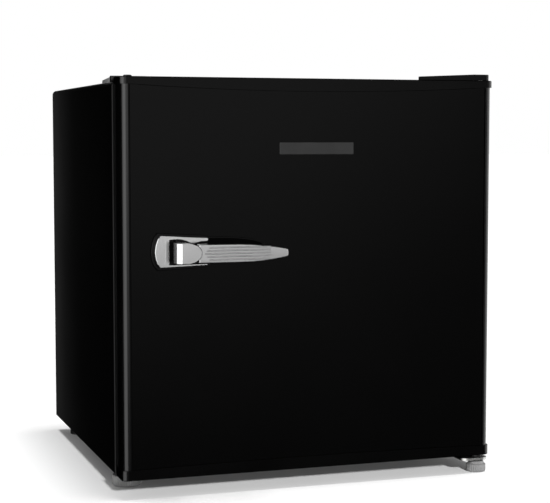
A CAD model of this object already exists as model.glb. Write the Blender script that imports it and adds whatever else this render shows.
import math
import bpy
import bmesh
from mathutils import Matrix, Vector


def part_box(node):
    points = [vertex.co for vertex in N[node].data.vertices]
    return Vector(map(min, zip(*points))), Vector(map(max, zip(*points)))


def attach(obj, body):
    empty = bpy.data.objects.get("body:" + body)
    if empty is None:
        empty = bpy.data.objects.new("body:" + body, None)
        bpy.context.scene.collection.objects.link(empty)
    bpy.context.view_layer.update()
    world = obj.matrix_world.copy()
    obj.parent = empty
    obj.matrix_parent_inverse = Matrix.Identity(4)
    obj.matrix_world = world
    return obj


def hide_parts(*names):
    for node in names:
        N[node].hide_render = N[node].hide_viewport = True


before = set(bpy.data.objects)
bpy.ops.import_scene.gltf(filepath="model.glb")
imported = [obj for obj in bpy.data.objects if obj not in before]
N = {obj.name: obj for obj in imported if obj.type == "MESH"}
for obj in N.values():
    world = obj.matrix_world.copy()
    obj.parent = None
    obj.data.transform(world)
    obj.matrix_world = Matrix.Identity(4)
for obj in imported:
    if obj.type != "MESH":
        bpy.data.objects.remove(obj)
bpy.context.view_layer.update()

MM = 0.001


def P(*v):
    return Vector(v) * MM


# ------------------------------------------------------------------ materials
def new_mat(name):
    m = bpy.data.materials.new(name)
    m.use_nodes = True
    return m, m.node_tree.nodes, m.node_tree.links, m.node_tree.nodes["Principled BSDF"]


def ramp(nodes, links, src, c0, c1, p0=0.3, p1=0.7):
    r = nodes.new("ShaderNodeValToRGB")
    r.color_ramp.elements[0].position = p0
    r.color_ramp.elements[1].position = p1
    r.color_ramp.elements[0].color = (*c0, 1)
    r.color_ramp.elements[1].color = (*c1, 1)
    links.new(src, r.inputs["Fac"])
    return r.outputs["Color"]


def span(nodes, links, src, lo, hi, a=0.3, b=0.7):
    r = nodes.new("ShaderNodeMapRange")
    r.inputs["From Min"].default_value = a
    r.inputs["From Max"].default_value = b
    r.inputs["To Min"].default_value = lo
    r.inputs["To Max"].default_value = hi
    links.new(src, r.inputs["Value"])
    return r.outputs["Result"]


def noise(nodes, links, coord, scale, detail=3.0, rough=0.55, stretch=None):
    n = nodes.new("ShaderNodeTexNoise")
    n.inputs["Scale"].default_value = scale
    n.inputs["Detail"].default_value = detail
    n.inputs["Roughness"].default_value = rough
    if stretch:
        mp = nodes.new("ShaderNodeMapping")
        mp.inputs["Scale"].default_value = stretch
        links.new(coord, mp.inputs["Vector"])
        links.new(mp.outputs["Vector"], n.inputs["Vector"])
    else:
        links.new(coord, n.inputs["Vector"])
    return n.outputs["Fac"]


def bump(nodes, links, height, strength, distance, after=None):
    b = nodes.new("ShaderNodeBump")
    b.inputs["Strength"].default_value = strength
    b.inputs["Distance"].default_value = distance
    links.new(height, b.inputs["Height"])
    if after is not None:
        links.new(after, b.inputs["Normal"])
    return b.outputs["Normal"]


def finish_mat(name, c0, c1, rough=(0.35, 0.5), metallic=0.0, spec=0.5, peel=(900, 0.08, 0.00005),
               smudge=6.0, stretch=None, coat=0.0, coat_rough=0.1, trans=0.0, ior=1.5, alpha=None,
               grain=None, sub=0.0, zone=None):
    """Two-tone surface with broad smudges, varying roughness and a fine surface texture."""
    m, nd, lk, bs = new_mat(name)
    tc = nd.new("ShaderNodeTexCoord").outputs["Object"]
    broad = noise(nd, lk, tc, smudge, 4.0, 0.6)
    fine = noise(nd, lk, tc, peel[0], 2.0, 0.5, stretch)
    lk.new(ramp(nd, lk, broad, c0, c1), bs.inputs["Base Color"])
    mixn = nd.new("ShaderNodeMath")
    mixn.operation = "MULTIPLY_ADD"
    lk.new(fine, mixn.inputs[0])
    mixn.inputs[1].default_value = 0.35
    lk.new(broad, mixn.inputs[2])
    lk.new(span(nd, lk, mixn.outputs[0], rough[0], rough[1], 0.4, 0.95), bs.inputs["Roughness"])
    nrm = bump(nd, lk, fine, peel[1], peel[2])
    if grain:
        g = noise(nd, lk, tc, grain[0], 4.0, 0.6)
        nrm = bump(nd, lk, g, grain[1], grain[2], nrm)
    lk.new(nrm, bs.inputs["Normal"])
    bs.inputs["Metallic"].default_value = metallic
    bs.inputs["Specular IOR Level"].default_value = spec
    bs.inputs["IOR"].default_value = ior
    if zone:
        # zone: share of the outer gloss, from where the point lies on the piece
        sp = nd.new("ShaderNodeSeparateXYZ")
        lk.new(tc, sp.inputs[0])
        ab = nd.new("ShaderNodeMath")
        ab.operation = "ABSOLUTE"
        lk.new(sp.outputs["X"], ab.inputs[0])
        share = span(nd, lk, ab.outputs[0], 0.0, 1.0, zone["x"][0], zone["x"][1])
        if "y" in zone:
            fore = span(nd, lk, sp.outputs["Y"], 1.0, 0.0, zone["y"][0], zone["y"][1])
            mxm = nd.new("ShaderNodeMath")
            mxm.operation = "MAXIMUM"
            lk.new(share, mxm.inputs[0])
            lk.new(fore, mxm.inputs[1])
            share = mxm.outputs[0]
        lk.new(span(nd, lk, share, zone["low"], spec, 0.0, 1.0), bs.inputs["Specular IOR Level"])
    if coat:
        bs.inputs["Coat Weight"].default_value = coat
        bs.inputs["Coat Roughness"].default_value = coat_rough
    if trans:
        bs.inputs["Transmission Weight"].default_value = trans
    if alpha is not None:
        bs.inputs["Alpha"].default_value = alpha
    if sub:
        bs.inputs["Subsurface Weight"].default_value = sub
        bs.inputs["Subsurface Radius"].default_value = (0.004, 0.003, 0.002)
    return m


M = {}
M["door"] = finish_mat("door_black", (0.00025, 0.00025, 0.00025), (0.00045, 0.00045, 0.00045), (0.22, 0.27), spec=0.107,
                       peel=(700, 0.05, 0.00003), smudge=3.0)
M["side"] = finish_mat("cabinet_black", (0.0010, 0.0010, 0.0010), (0.0015, 0.0015, 0.0015), (0.36, 0.44), spec=0.2,
                       peel=(1200, 0.12, 0.00006), smudge=4.0)
M["cap"] = finish_mat("cap_black", (0.0006, 0.0006, 0.0006), (0.0010, 0.0010, 0.0010), (0.20, 0.26), spec=0.42,
                      peel=(600, 0.04, 0.00002), smudge=9.0, zone={"x": (0.2285, 0.2305), "low": 0.095})
M["pad"] = finish_mat("pad_black", (0.0010, 0.0010, 0.0010), (0.0016, 0.0016, 0.0016), (0.22, 0.3), spec=0.12,
                      peel=(900, 0.06, 0.00002), smudge=30.0)
M["deep"] = finish_mat("scoop_black", (0.0003, 0.0003, 0.0003), (0.0006, 0.0006, 0.0006), (0.5, 0.6), spec=0.03,
                       peel=(900, 0.06, 0.00002), smudge=30.0)
M["gloss"] = finish_mat("gloss_black_trim", (0.0016, 0.0016, 0.0017), (0.003, 0.003, 0.003), (0.16, 0.24), spec=0.42,
                        peel=(500, 0.03, 0.00002), smudge=9.0,
                        zone={"x": (0.2266, 0.2276), "low": 0.05})
M["black"] = finish_mat("black_plastic", (0.003, 0.003, 0.003), (0.006, 0.006, 0.006), (0.35, 0.5), spec=0.4,
                        peel=(2200, 0.18, 0.00006), smudge=20.0)
M["abs"] = finish_mat("white_abs", (0.60, 0.615, 0.62), (0.68, 0.69, 0.69), (0.28, 0.4), spec=0.5,
                      peel=(350, 0.05, 0.00008), smudge=7.0, sub=0.05)
M["alu"] = finish_mat("evaporator_aluminium", (0.62, 0.63, 0.64), (0.74, 0.75, 0.76), (0.32, 0.48), metallic=1.0,
                      peel=(900, 0.10, 0.00005), smudge=14.0, stretch=(1.0, 0.06, 1.0))
M["frost"] = finish_mat("frosted_plastic", (0.72, 0.80, 0.86), (0.80, 0.87, 0.92), (0.22, 0.36), trans=0.55, ior=1.45,
                        peel=(1600, 0.10, 0.00005), smudge=10.0)
M["tray"] = finish_mat("clear_plastic", (0.80, 0.86, 0.89), (0.88, 0.92, 0.94), (0.08, 0.16), trans=0.82, ior=1.45,
                       peel=(300, 0.03, 0.00004), smudge=10.0)
M["wire"] = finish_mat("coated_wire", (0.74, 0.75, 0.75), (0.83, 0.83, 0.82), (0.22, 0.34), peel=(700, 0.08, 0.00006),
                       smudge=18.0)
M["zinc"] = finish_mat("zinc_plate", (0.42, 0.43, 0.42), (0.58, 0.58, 0.56), (0.3, 0.48), metallic=1.0,
                       peel=(1400, 0.12, 0.00005), smudge=45.0)
M["knob"] = finish_mat("knob_grey", (0.50, 0.51, 0.52), (0.58, 0.59, 0.60), (0.35, 0.45), peel=(2500, 0.12, 0.00004),
                       smudge=40.0)
M["copper"] = finish_mat("copper", (0.55, 0.24, 0.13), (0.72, 0.38, 0.24), (0.22, 0.4), metallic=1.0,
                         peel=(600, 0.08, 0.00005), smudge=30.0)
M["comp"] = finish_mat("compressor_paint", (0.006, 0.006, 0.0065), (0.013, 0.013, 0.013), (0.25, 0.42),
                       peel=(500, 0.16, 0.0002), smudge=12.0)
M["cond"] = finish_mat("condenser_paint", (0.006, 0.006, 0.006), (0.014, 0.014, 0.013), (0.35, 0.5),
                       peel=(1500, 0.2, 0.00008), smudge=30.0)
M["back"] = finish_mat("back_steel", (0.010, 0.010, 0.011), (0.019, 0.019, 0.019), (0.4, 0.55), peel=(1200, 0.12, 0.00006),
                       smudge=6.0)
M["grey"] = finish_mat("grey_foot_plastic", (0.16, 0.16, 0.16), (0.23, 0.23, 0.23), (0.45, 0.6),
                       peel=(1500, 0.2, 0.00008), smudge=60.0)
M["footpad"] = finish_mat("foot_pad_plastic", (0.30, 0.30, 0.30), (0.38, 0.38, 0.375), (0.45, 0.6),
                          peel=(1500, 0.2, 0.00008), smudge=60.0)
M["rubber"] = finish_mat("gasket_rubber", (0.010, 0.010, 0.010), (0.020, 0.020, 0.020), (0.55, 0.7), spec=0.3,
                         peel=(1800, 0.2, 0.00006), smudge=18.0)
M["gasket"] = finish_mat("gasket_vinyl", (0.022, 0.022, 0.022), (0.038, 0.038, 0.037), (0.45, 0.6), spec=0.35,
                         peel=(1800, 0.12, 0.00005), smudge=18.0)
M["badge"] = finish_mat("badge_grey", (0.011, 0.011, 0.011), (0.017, 0.017, 0.017), (0.35, 0.45), spec=0.3,
                        peel=(1800, 0.1, 0.00004), smudge=30.0)
M["chrome"] = finish_mat("satin_chrome", (0.60, 0.60, 0.60), (0.66, 0.66, 0.66), (0.20, 0.27), metallic=1.0,
                         peel=(900, 0.02, 0.00003), smudge=40.0)
M["steel"] = finish_mat("spring_steel", (0.48, 0.48, 0.49), (0.62, 0.62, 0.62), (0.2, 0.34), metallic=1.0,
                        peel=(2000, 0.1, 0.00003), smudge=60.0)
M["foam"] = finish_mat("foam_cream", (0.60, 0.48, 0.24), (0.72, 0.60, 0.36), (0.8, 0.95), peel=(500, 0.5, 0.0004),
                       smudge=30.0)
M["iron"] = finish_mat("motor_iron", (0.12, 0.12, 0.12), (0.22, 0.21, 0.2), (0.45, 0.65), metallic=0.7,
                       peel=(800, 0.2, 0.0001), smudge=40.0)
M["ink"] = finish_mat("dial_ink", (0.02, 0.03, 0.06), (0.03, 0.04, 0.08), (0.5, 0.6), peel=(2500, 0.05, 0.00002),
                      smudge=60.0)

NODE_MAT = {
    "cabinet_wrap": "side", "base_pan": "back", "back_panel": "back", "inner_liner": "abs",
    "foam_insulation": "foam", "evaporator_box": "alu", "evaporator_hangers": "abs", "freezer_frame": "abs",
    "freezer_flap": "frost", "drip_tray_rails": "abs", "drip_tray": "tray", "wire_shelf": "wire",
    "thermostat_housing": "abs", "thermostat_body": "zinc", "thermostat_knob": "knob",
    "thermostat_capillary": "copper", "compressor_shell": "comp", "compressor_motor": "iron",
    "compressor_grommets": "rubber", "compressor_bolts": "zinc", "compressor_plate": "zinc",
    "relay_box": "black", "cord_gland": "rubber", "condenser_tube": "cond", "condenser_wires": "cond",
    "condenser_brackets": "black", "filter_drier": "copper", "discharge_tube": "copper",
    "suction_line": "copper", "capillary_tube": "copper", "rear_feet": "black", "foot_front_left": "grey",
    "foot_front_right": "grey", "lower_hinge_bracket": "zinc", "hinge_washer": "black",
    "lower_hinge_screws": "zinc", "upper_hinge_bracket": "zinc", "upper_hinge_screws": "zinc",
    "upper_hinge_cover": "pad", "spare_hinge_cap": "grey", "door_panel": "door", "door_rail_left": "gloss",
    "door_rail_right": "gloss", "door_cap_top": "cap", "door_cap_bottom": "cap", "hinge_bushes": "grey",
    "door_hole_plug": "gloss", "door_liner": "abs", "door_foam": "foam", "door_gasket": "gasket",
    "gasket_magnets": "rubber", "door_rack_upper": "tray", "door_rack_lower": "tray", "badge_plate": "badge",
    "handle_pad": "black", "handle_escutcheon": "chrome", "handle_pin": "pad", "handle_spring": "steel",
    "handle_lever": "chrome",
}
for name, o in N.items():
    m = M[NODE_MAT[name]]
    if not o.material_slots:
        o.data.materials.append(m)
    for s in o.material_slots:
        s.material = m


# ------------------------------------------------------------------ mesh tools
def link(obj):
    bpy.context.scene.collection.objects.link(obj)
    return obj


def obj_from(bm, name, mat, smooth=True, angle=35.0):
    bmesh.ops.remove_doubles(bm, verts=bm.verts, dist=1e-7)
    bmesh.ops.recalc_face_normals(bm, faces=bm.faces)
    me = bpy.data.meshes.new(name)
    bm.to_mesh(me)
    bm.free()
    me.materials.append(mat)
    o = link(bpy.data.objects.new(name, me))
    shade(o, smooth, angle)
    return o


def weigh(o):
    """Keeps flat faces flat between smooth bevels."""
    md = o.modifiers.new("weigh", "WEIGHTED_NORMAL")
    md.keep_sharp = True
    md.weight = 100
    bpy.context.view_layer.update()
    return apply_mods(o)


def shade(o, smooth=True, angle=35.0):
    me = o.data
    for p in me.polygons:
        p.use_smooth = smooth
    if smooth:
        bm = bmesh.new()
        bm.from_mesh(me)
        lim = math.radians(angle)
        for e in bm.edges:
            e.smooth = not (len(e.link_faces) == 2 and e.calc_face_angle(0.0) > lim)
        bm.to_mesh(me)
        bm.free()


def prism_bm(pts, axis, a, b):
    """Closed outline (list of 2-D points, mm) pushed from a to b along axis (mm)."""
    bm = bmesh.new()

    def at(u, v, w):
        return {"X": P(w, u, v), "Y": P(u, w, v), "Z": P(u, v, w)}[axis]

    lo = [bm.verts.new(at(u, v, a)) for u, v in pts]
    hi = [bm.verts.new(at(u, v, b)) for u, v in pts]
    n = len(pts)
    bm.faces.new(lo)
    bm.faces.new(list(reversed(hi)))
    for i in range(n):
        j = (i + 1) % n
        bm.faces.new((lo[i], hi[i], hi[j], lo[j]))
    bmesh.ops.recalc_face_normals(bm, faces=bm.faces)
    return bm


def bevel_bm(bm, width, segments=3, limit=30.0, pick=None):
    bm.normal_update()
    lim = math.radians(limit)
    edges = [e for e in bm.edges if len(e.link_faces) == 2 and e.calc_face_angle(0.0) > lim
             and (pick is None or pick(e))]
    if edges:
        bmesh.ops.bevel(bm, geom=edges, offset=width * MM, segments=segments, profile=0.5, affect="EDGES",
                        clamp_overlap=True)
    return bm


def arc(cx, cy, r, a0, a1, n=8):
    return [(cx + r * math.cos(math.radians(a0 + (a1 - a0) * i / n)),
             cy + r * math.sin(math.radians(a0 + (a1 - a0) * i / n))) for i in range(n + 1)]


def rrect(u0, v0, u1, v1, r, n=6):
    return (arc(u1 - r, v0 + r, r, -90, 0, n) + arc(u1 - r, v1 - r, r, 0, 90, n)
            + arc(u0 + r, v1 - r, r, 90, 180, n) + arc(u0 + r, v0 + r, r, 180, 270, n))


def lathe(name, prof, cx, cy, mat, seg=96, ridge=None, angle=35.0, cz=0.0):
    """Solid of revolution about a vertical line. prof is (radius, height) in mm, from axis to axis.
    ridge(radius, height, turn) gives a radius change in mm."""
    bm = bmesh.new()
    rings = []
    for r, h in prof:
        if r < 1e-6:
            rings.append([bm.verts.new(P(cx, cy, h + cz))])
        else:
            ring = []
            for i in range(seg):
                t = 2 * math.pi * i / seg
                rr = r + (ridge(r, h, t) if ridge else 0.0)
                ring.append(bm.verts.new(P(cx + rr * math.cos(t), cy + rr * math.sin(t), h + cz)))
            rings.append(ring)
    for a, b in zip(rings, rings[1:]):
        for i in range(seg):
            j = (i + 1) % seg
            if len(a) == 1 and len(b) == 1:
                continue
            if len(a) == 1:
                bm.faces.new((a[0], b[j], b[i]))
            elif len(b) == 1:
                bm.faces.new((a[i], a[j], b[0]))
            else:
                bm.faces.new((a[i], a[j], b[j], b[i]))
    return obj_from(bm, name, mat, True, angle)


def apply_mods(o):
    dg = bpy.context.evaluated_depsgraph_get()
    me = bpy.data.meshes.new_from_object(o.evaluated_get(dg))
    old = o.data
    o.modifiers.clear()
    o.data = me
    bpy.data.meshes.remove(old)
    return o


def boolean(o, other, op):
    md = o.modifiers.new("bool", "BOOLEAN")
    md.object = other
    md.operation = op
    md.solver = "EXACT"
    bpy.context.view_layer.update()
    apply_mods(o)
    me = other.data
    bpy.data.objects.remove(other)
    bpy.data.meshes.remove(me)
    return o


def bevel_obj(o, width, segments=3, limit=30.0):
    md = o.modifiers.new("bevel", "BEVEL")
    md.width = width * MM
    md.segments = segments
    md.limit_method = "ANGLE"
    md.angle_limit = math.radians(limit)
    md.use_clamp_overlap = True
    md.miter_outer = "MITER_ARC"
    bpy.context.view_layer.update()
    return apply_mods(o)


def tube(name, pts, r, mat, res=8, cyclic=False, spline="POLY"):
    cu = bpy.data.curves.new(name, "CURVE")
    cu.dimensions = "3D"
    cu.bevel_depth = r * MM
    cu.bevel_resolution = res
    cu.use_fill_caps = True
    sp = cu.splines.new(spline)
    sp.points.add(len(pts) - 1)
    for i, p in enumerate(pts):
        sp.points[i].co = (*P(*p), 1.0)
    sp.use_cyclic_u = cyclic
    o = link(bpy.data.objects.new(name, cu))
    bpy.context.view_layer.update()
    me = bpy.data.meshes.new_from_object(o.evaluated_get(bpy.context.evaluated_depsgraph_get()))
    bpy.data.objects.remove(o)
    bpy.data.curves.remove(cu)
    me.materials.clear()
    me.materials.append(mat)
    o = link(bpy.data.objects.new(name, me))
    shade(o)
    return o


def put(o, body, slot, *replaced):
    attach(o, body)
    if replaced:
        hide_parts(*replaced)
    return o


# ------------------------------------------------------------------ handle
ZC = 290.5
# lever: a hub that rises out of the plate and a tapered ribbed grip
side_view = ([(-168.6, -211.0)] + arc(-172, -211, 3.2, 0, 180, 10)[1:] +
             [(-176.6, -214.0), (-178.6, -219.5), (-179.2, -225.0), (-179.2, -236.2), (-178.4, -237.4),
              (-174.9, -241.0), (-173.9, -241.7), (-172.8, -242.0)] +
             [(-147.0, -242.0), (-147.0, -231.5), (-154.0, -225.0)])
hub = obj_from(prism_bm(side_view, "Z", 278.5, 302.5), "lever_hub_tmp", M["chrome"])


def bow(cx, a, b, n=24):
    return [(cx + a * math.cos(math.radians(-90 + 180 * i / n)), ZC + b * math.sin(math.radians(-90 + 180 * i / n)))
            for i in range(n + 1)]


front_view = [(-182.0, 278.7)] + bow(-167.2, 17.0, 11.8) + [(-182.0, 302.3)]
mask = obj_from(prism_bm(front_view, "Y", -244.0, -206.0), "lever_mask_tmp", M["chrome"])
boolean(hub, mask, "INTERSECT")
bevel_obj(hub, 0.45, 2, 28.0)

grip_pts = [(-153.0, 279.2), (-104.0, 279.0), (-88.0, 279.3), (-76.0, 280.1), (-65.5, 281.3), (-56.0, 282.8),
            (-47.4, 284.2), (-45.4, 285.4), (-45.0, 289.2), (-45.4, 293.0), (-47.4, 294.2), (-56.0, 295.7),
            (-65.5, 297.0), (-76.0, 298.4), (-88.0, 299.6), (-104.0, 300.3), (-141.0, 300.7), (-153.0, 300.7)]
gb = prism_bm(grip_pts, "Y", -241.0, -230.0)
grip = obj_from(gb, "lever_grip_tmp", M["chrome"])
bevel_obj(grip, 0.9, 3, 40.0)
rim_cut = obj_from(prism_bm([(-175.0, 277.0)] + bow(-167.2, 17.9, 13.0) + [(-175.0, 304.0)], "Y", -243.0, -238.6),
                   "rim_tmp", M["chrome"])
boolean(grip, rim_cut, "DIFFERENCE")
for i in range(5):
    z = ZC - 0.6 - 7.0 + 3.5 * i
    x1 = -66.0
    x0 = -146.5 + 2.6 * abs(i - 2)
    pts = [(z - 0.85, -243.0), (z - 0.85, -240.95), (z - 0.35, -240.25), (z + 0.35, -240.25), (z + 0.85, -240.95),
           (z + 0.85, -243.0)]
    bm = bmesh.new()
    lo = [bm.verts.new(P(x0, y, zz)) for zz, y in pts]
    hi = [bm.verts.new(P(x1, y, zz)) for zz, y in pts]
    bm.faces.new(lo)
    bm.faces.new(list(reversed(hi)))
    for k in range(len(pts)):
        j = (k + 1) % len(pts)
        bm.faces.new((lo[k], hi[k], hi[j], lo[j]))
    cutter = obj_from(bm, "groove_tmp", M["chrome"], False)
    boolean(grip, cutter, "DIFFERENCE")
boolean(grip, hub, "UNION")
hole = lathe("pin_hole_tmp", [(0, 270), (2.08, 270), (2.08, 312), (0, 312)], -172, -211, M["chrome"], 48)
boolean(grip, hole, "DIFFERENCE")
slot_c = lathe("spring_slot_tmp", [(0, 285), (4.6, 285), (4.6, 296), (0, 296)], -172, -211, M["chrome"], 48)
boolean(grip, slot_c, "DIFFERENCE")
lever = grip
lever.name = "lever_chrome"
lever.data.materials.append(M["pad"])
for p in lever.data.polygons:
    if p.normal.x < -0.8 and p.center.x < -0.17 and p.center.y > -0.2368:
        p.material_index = 1
shade(lever, True, 34.0)
weigh(lever)
put(lever, "handle_lever", "satin_chrome", "handle_lever")

# handle plate: a fork whose window lets the hub through
esc_pts = ([(-192.6, 272.4), (-165.0, 273.3)] +
           [(-139.0, 274.2)] + arc(-137.0, 275.4, 1.25, -80, 90, 6) + [(-150.0, 276.5), (-165.0, 276.2), (-182.0, 275.6),
           (-182.0, 305.2), (-172.0, 305.2), (-166.5, 304.6), (-161.0, 302.9), (-157.0, 301.0), (-154.0, 300.0),
           (-150.5, 300.3), (-147.0, 301.3), (-143.0, 302.3)] +
           arc(-137.2, 304.7, 2.3, -90, 90, 6) +
           [(-150.0, 307.6), (-165.0, 308.5), (-180.0, 309.6), (-192.0, 310.3), (-195.4, 305.8), (-197.6, 299.5),
            (-198.8, 291.2), (-197.8, 283.0), (-195.6, 276.8)])
eb = prism_bm(esc_pts, "Y", -214.5, -207.0)


def front_edge(e):
    return all(abs(v.co.y + 0.2145) < 1e-5 for v in e.verts)


bevel_bm(eb, 0.8, 3, 30.0, lambda e: front_edge(e) and not all(abs(v.co.x + 0.182) < 1e-4 for v in e.verts))
esc = obj_from(eb, "escutcheon_chrome", M["chrome"], True, 30)
# fine line beside the window
line = obj_from(prism_bm([(-187.4, 276.4), (-186.2, 276.4), (-186.2, 304.6), (-187.4, 304.6)], "Y", -216.0, -213.4),
                "line_tmp", M["chrome"], False)
boolean(esc, line, "DIFFERENCE")
shade(esc, True, 34)
weigh(esc)
put(esc, "door", "satin_chrome", "handle_escutcheon")

# black moulded pad behind the plate, drawn out under the grip as a shallow finger scoop
pad_pts = ([(-193.6, 268.8), (-170.0, 269.6), (-145.0, 270.8)] + arc(-134.0, 275.0, 3.4, -75, 20, 5) +
           [(-128.0, 281.0), (-110.0, 283.0), (-85.0, 286.0), (-68.0, 290.5)] + arc(-64.8, 297.0, 2.2, -40, 90, 5) +
           [(-72.0, 302.2), (-79.0, 304.1), (-90.0, 305.7), (-103.0, 306.7), (-116.0, 307.1), (-129.0, 307.3),
            (-134.0, 308.2), (-139.0, 309.6), (-160.0, 310.8), (-180.0, 311.9), (-194.0, 312.6), (-197.6, 308.0),
            (-200.4, 300.0), (-201.6, 291.2), (-200.6, 281.6), (-197.6, 273.6)])
pb = prism_bm(pad_pts, "Y", -207.0, -203.9)
bevel_bm(pb, 0.9, 3, 25.0, lambda e: all(abs(v.co.y + 0.207) < 1e-5 for v in e.verts))
pad = obj_from(pb, "handle_pad_black", M["pad"], True, 30)
scoop_pts = ([(-133.0, 281.8), (-110.0, 283.8), (-86.0, 286.8), (-70.0, 291.0), (-66.0, 296.0), (-67.6, 299.0),
              (-73.0, 301.0), (-80.0, 302.6), (-91.0, 304.3), (-104.0, 305.3), (-117.0, 305.7), (-133.0, 305.9)])
sc = obj_from(prism_bm(scoop_pts, "Y", -208.5, -204.7), "scoop_tmp", M["deep"], False)
pad.data.materials.append(M["deep"])
boolean(pad, sc, "DIFFERENCE")
for p in pad.data.polygons:
    c = p.center
    inside = -0.1335 < c.x < -0.0655 and 0.281 < c.z < 0.3062
    p.material_index = 1 if inside and c.y > -0.2068 and (c.y > -0.2049 or abs(p.normal.y) < 0.5) and c.y < -0.2041 else 0
shade(pad, True, 34)
weigh(pad)
put(pad, "door", "black_plastic", "handle_pad")


# ------------------------------------------------------------------ lip behind the top cap, over the gasket
lb = prism_bm(rrect(-173.8, 489.4, -160.6, 493.2, 1.2, 3), "X", -233.6, 178.0)
lip = obj_from(lb, "door_top_lip", M["cap"], True, 34)
put(lip, "door", "gloss_black")
# cover of the unused hinge seat: black front block and a grey wedge that runs down to the rear
sb = prism_bm([(-156.6, 488.0), (-150.2, 488.0), (-150.2, 495.0), (-150.8, 495.5), (-156.0, 495.6), (-156.6, 495.0)],
              "X", -236.4, -194.0)
spare = obj_from(sb, "spare_hinge_cover", M["cap"], True, 34)
wb = prism_bm([(-150.0, 488.0), (-104.0, 488.0), (-103.4, 488.6), (-104.0, 491.9), (-149.4, 494.6), (-150.0, 494.2)],
              "X", -235.6, -194.0)
wedge = obj_from(wb, "spare_wedge_tmp", M["grey"], True, 34)
for k, m in enumerate((M["cap"], M["grey"])):
    if k >= len(spare.data.materials):
        spare.data.materials.append(m)
joined = bmesh.new()
joined.from_mesh(spare.data)
first = len(joined.faces)
joined.from_mesh(wedge.data)
joined.faces.ensure_lookup_table()
for k in range(first, len(joined.faces)):
    joined.faces[k].material_index = 1
joined.to_mesh(spare.data)
joined.free()
old = wedge.data
bpy.data.objects.remove(wedge)
bpy.data.meshes.remove(old)
bevel_obj(spare, 0.5, 2, 40.0)
shade(spare, True, 34)
put(spare, "cabinet", "grey_plastic", "spare_hinge_cap")

# ------------------------------------------------------------------ marks on the thermostat knob
klo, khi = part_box("thermostat_knob")
ky, kz = (klo[1] + khi[1]) * 500.0, (klo[2] + khi[2]) * 500.0
kr = (khi[2] - klo[2]) * 500.0
face = klo[0] * 1000.0 + 2.7
marks = bmesh.new()
for k in range(8):
    a = math.radians(28.0 + k * 17.7)
    cu, su = math.cos(a), math.sin(a)
    long = 3.2 - 0.22 * k
    r1 = kr - 2.3
    quad = [(r1 - long, -0.45), (r1, -0.45), (r1, 0.45), (r1 - long, 0.45)]
    part = prism_bm([(ky + u * cu - v * su, kz + u * su + v * cu) for u, v in quad], "X", face - 0.12, face + 0.3)
    me = bpy.data.meshes.new("mark_tmp")
    part.to_mesh(me)
    part.free()
    marks.from_mesh(me)
    bpy.data.meshes.remove(me)
dial = obj_from(marks, "knob_marks", M["ink"], False)
put(dial, "thermostat_knob", "knob_plastic")

# ------------------------------------------------------------------ feet
def ribs(count, depth, lo, hi, radius):
    def f(r, h, t):
        if r < radius - 0.1 or not lo <= h <= hi:
            return 0.0
        return -depth * (0.5 + 0.5 * math.cos(count * t)) ** 1.5
    return f


fl = lathe("foot_left_ribbed",
           [(0, 0), (15.4, 0), (16.6, 0.5), (17.2, 1.3), (17.9, 2.0), (17.9, 4.0), (17.9, 8.0), (17.9, 12.2), (17.2, 13.1),
            (16.2, 13.5), (13.0, 13.5), (12.2, 12.6), (9.0, 12.6), (8.2, 13.5), (7.5, 13.9), (7.5, 15.5), (7.1, 15.9),
            (3.92, 15.9)] +
           [v for k in range(4) for v in ((3.92, 16.1 + k * 1.05), (3.35, 16.6 + k * 1.05))] + [(3.4, 21.0), (0, 21.0)],
           -214.0, -125.0, M["footpad"], 144, ribs(36, 0.9, 1.9, 12.4, 17.7))
put(fl, "foot_left", "grey_plastic", "foot_front_left")
frt = lathe("foot_right_ribbed",
            [(0, 0), (10.8, 0), (11.7, 0.5), (12.4, 1.3), (12.4, 3.0), (12.4, 6.0), (12.4, 8.9), (11.8, 9.6), (10.6, 10.0),
             (10.0, 10.6), (10.0, 12.6), (9.2, 13.5), (6.2, 13.5), (5.6, 13.9), (2.95, 13.9)] +
            [v for k in range(2) for v in ((2.95, 14.2 + k * 1.0), (2.5, 14.7 + k * 1.0))] +
            [(2.95, 16.3), (2.95, 32.6), (2.2, 33.4), (0, 33.4)],
            224.6, -191.5, M["grey"], 120, ribs(30, 0.6, 1.2, 9.0, 12.2))
frt.data.materials.append(M["zinc"])
for p in frt.data.polygons:
    c = p.center
    p.material_index = 1 if math.hypot(c.x - 0.2246, c.y + 0.1915) < 0.0031 and c.z > 0.0138 else 0
put(frt, "foot_right", "grey_plastic", "foot_front_right")

# ------------------------------------------------------------------ stage, light, camera
bpy.ops.mesh.primitive_plane_add(size=60.0, location=(0, 0, 0))
floor = bpy.context.object
floor.name = "floor"
fm, fnd, flk, fbs = new_mat("floor_white")
ftc = fnd.new("ShaderNodeTexCoord").outputs["Object"]
flk.new(ramp(fnd, flk, noise(fnd, flk, ftc, 0.7, 3.0), (0.86, 0.86, 0.86), (0.89, 0.89, 0.89)), fbs.inputs["Base Color"])
fbs.inputs["Roughness"].default_value = 0.9
fbs.inputs["Emission Color"].default_value = (1, 1, 1, 1)
fbs.inputs["Emission Strength"].default_value = 0.045
fbs.inputs["Specular IOR Level"].default_value = 0.0
floor.data.materials.append(fm)
floor.visible_glossy = False


def area(name, loc, target, size, power, size_y=None, glossy=False):
    li = bpy.data.lights.new(name, "AREA")
    li.energy = power
    li.size = size
    if size_y:
        li.shape = "RECTANGLE"
        li.size_y = size_y
    o = link(bpy.data.objects.new(name, li))
    o.location = loc
    d = Vector(target) - Vector(loc)
    o.rotation_euler = d.to_track_quat("-Z", "Y").to_euler()
    o.visible_camera = False
    o.visible_glossy = glossy
    return o




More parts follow.
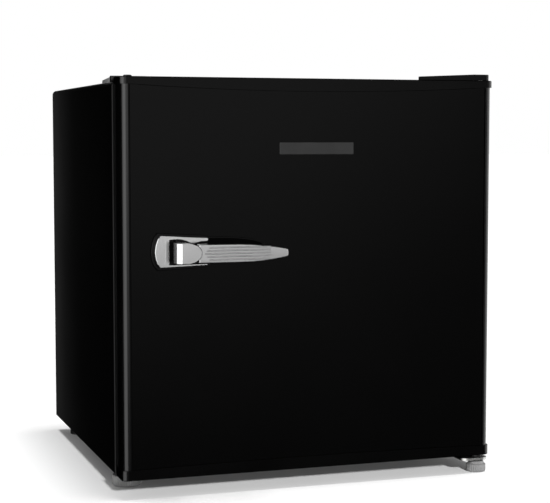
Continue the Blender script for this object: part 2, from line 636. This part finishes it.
def sun(name, direction, strength, angle):
    """direction: from the light towards the object."""
    li = bpy.data.lights.new(name, "SUN")
    li.energy = strength
    li.angle = math.radians(angle)
    o = link(bpy.data.objects.new(name, li))
    o.rotation_euler = Vector(direction).to_track_quat("-Z", "Y").to_euler()
    o.visible_camera = False
    o.visible_glossy = False
    return o


sun("overhead_sun", (-0.085, 0.035, -0.995), 1.45, 10.5)
key = sun("front_sun", (0.0, 0.915, -0.395), 3.9, 4.0)
low_parts = bpy.data.collections.new("low_blockers")
for n in ("door_cap_bottom", "lower_hinge_bracket"):
    low_parts.objects.link(N[n])
# shade under the cabinet, seen by shadow rays only
shade_card = obj_from(prism_bm([(-233, -152), (233, -152), (233, 178), (-233, 178)], "Z", 23.0, 26.0),
                      "shade_card", M["black"], False)
for flag in ("visible_camera", "visible_diffuse", "visible_glossy", "visible_transmission", "visible_volume_scatter"):
    setattr(shade_card, flag, False)
low_parts.objects.link(shade_card)
for o in (fl, frt):
    low_parts.objects.link(o)
key.light_linking.blocker_collection = low_parts
# the same light with every shadow for the inside of the cabinet and the door
inner_key = sun("front_sun_inside", (0.0, 0.915, -0.395), 2.2, 8.0)
inside = bpy.data.collections.new("inside_receivers")
outside = bpy.data.collections.new("outside_receivers")
INNER = {"inner_liner", "foam_insulation", "evaporator_box", "evaporator_hangers", "freezer_frame", "freezer_flap",
         "drip_tray_rails", "drip_tray", "wire_shelf", "thermostat_housing", "thermostat_body", "thermostat_knob",
         "thermostat_capillary", "door_liner", "door_foam", "gasket_magnets", "door_rack_upper", "door_rack_lower",
         "door_gasket"}
for name, o in N.items():
    (inside if name in INNER else outside).objects.link(o)
for o in (lever, esc, pad, fl, frt, lip, spare, floor):
    outside.objects.link(o)
inner_key.light_linking.receiver_collection = inside
key.light_linking.receiver_collection = outside
# strip that grazes the cabinet's left rear edge
strip = area("rear_edge_strip", (-0.357, 0.258, 0.25), (-0.235, 0.298, 0.25), 0.03, 8.0, 0.6)
only_wrap = bpy.data.collections.new("strip_receivers")
only_wrap.objects.link(N["cabinet_wrap"])
strip.light_linking.receiver_collection = only_wrap

# a white tent: even light on matt surfaces, soft boxes for the shiny ones
world = bpy.data.worlds.new("studio")
bpy.context.scene.world = world
world.use_nodes = True
wn, wl = world.node_tree.nodes, world.node_tree.links
wdir = wn.new("ShaderNodeTexCoord").outputs["Generated"]


def lobe(axis, level, start, end, smooth=True):
    """Soft box: brightness rises from 0 to level as the direction's share along axis goes from start to end."""
    v = wn.new("ShaderNodeVectorMath")
    v.operation = "DOT_PRODUCT"
    wl.new(wdir, v.inputs[0])
    ax = Vector(axis).normalized()
    v.inputs[1].default_value = ax
    r = wn.new("ShaderNodeMapRange")
    r.interpolation_type = "SMOOTHSTEP" if smooth else "LINEAR"
    r.inputs["From Min"].default_value = start
    r.inputs["From Max"].default_value = end
    r.inputs["To Min"].default_value = 0.0
    r.inputs["To Max"].default_value = level
    wl.new(v.outputs["Value"], r.inputs["Value"])
    return r.outputs["Result"]


def math2(op, x, y):
    m2 = wn.new("ShaderNodeMath")
    m2.operation = op
    for k, val in enumerate((x, y)):
        if isinstance(val, (int, float)):
            m2.inputs[k].default_value = val
        else:
            wl.new(val, m2.inputs[k])
    return m2.outputs[0]


# front box: fades downwards and to the right, and stops above
sep = wn.new("ShaderNodeSeparateXYZ")
wl.new(wdir, sep.inputs[0])
rise = math2("DIVIDE", math2("ADD", sep.outputs["Z"], 0.20), 0.20)
fall = math2("MULTIPLY", math2("MAXIMUM", math2("SUBTRACT", sep.outputs["X"], 0.33), 0.0), 6.5)
front = math2("MINIMUM", math2("MAXIMUM", math2("SUBTRACT", rise, fall), 0.0), 1.0)
front = math2("MULTIPLY", front, lobe((0, -1, 0), 1.0, 0.30, 0.60))
front = math2("MULTIPLY", front, lobe((0, 0, -1), 1.0, -0.42, -0.22))
shine = math2("ADD", math2("MULTIPLY", front, 1.28), lobe((-0.81, -0.59, 0.0), 2.0, 0.74, 0.89))
shine = math2("ADD", shine, lobe((0.976, -0.215, 0.0), 1.6, 0.79, 0.90))
shine = math2("ADD", shine, lobe((0.90, 0.43, 0.0), 0.55, 0.80, 0.93))
shine = math2("ADD", shine, lobe((0.3, 0.72, 0.62), 0.6, 0.86, 0.97))
shine = math2("ADD", shine, lobe((-0.35, -0.25, 0.9), 0.7, 0.88, 0.97))

matte = wn["Background"]
matte.inputs["Color"].default_value = (1, 1, 1, 1)
matte.inputs["Strength"].default_value = 0.3
shiny = wn.new("ShaderNodeBackground")
shiny.inputs["Color"].default_value = (1, 1, 1, 1)
wl.new(shine, shiny.inputs["Strength"])
lp = wn.new("ShaderNodeLightPath")
mx = wn.new("ShaderNodeMixShader")
wl.new(lp.outputs["Is Glossy Ray"], mx.inputs["Fac"])
wl.new(matte.outputs[0], mx.inputs[1])
wl.new(shiny.outputs[0], mx.inputs[2])
seen = wn.new("ShaderNodeBackground")
seen.inputs["Color"].default_value = (1, 1, 1, 1)
seen.inputs["Strength"].default_value = 1.0
mc = wn.new("ShaderNodeMixShader")
wl.new(lp.outputs["Is Camera Ray"], mc.inputs["Fac"])
wl.new(mx.outputs[0], mc.inputs[1])
wl.new(seen.outputs[0], mc.inputs[2])
wl.new(mc.outputs[0], wn["World Output"].inputs["Surface"])

cam_data = bpy.data.cameras.new("camera")
cam_data.sensor_width = 36.0
cam_data.lens = 96.27
cam = link(bpy.data.objects.new("camera", cam_data))
cam.location = (-0.6056, -1.8621, 0.4243)
cam.rotation_euler = (math.radians(85.533), 0.0, math.radians(-18.547))
bpy.context.scene.camera = cam
bpy.context.scene.view_settings.view_transform = "Standard"
bpy.context.scene.view_settings.look = "None"

bpy.context.view_layer.update()
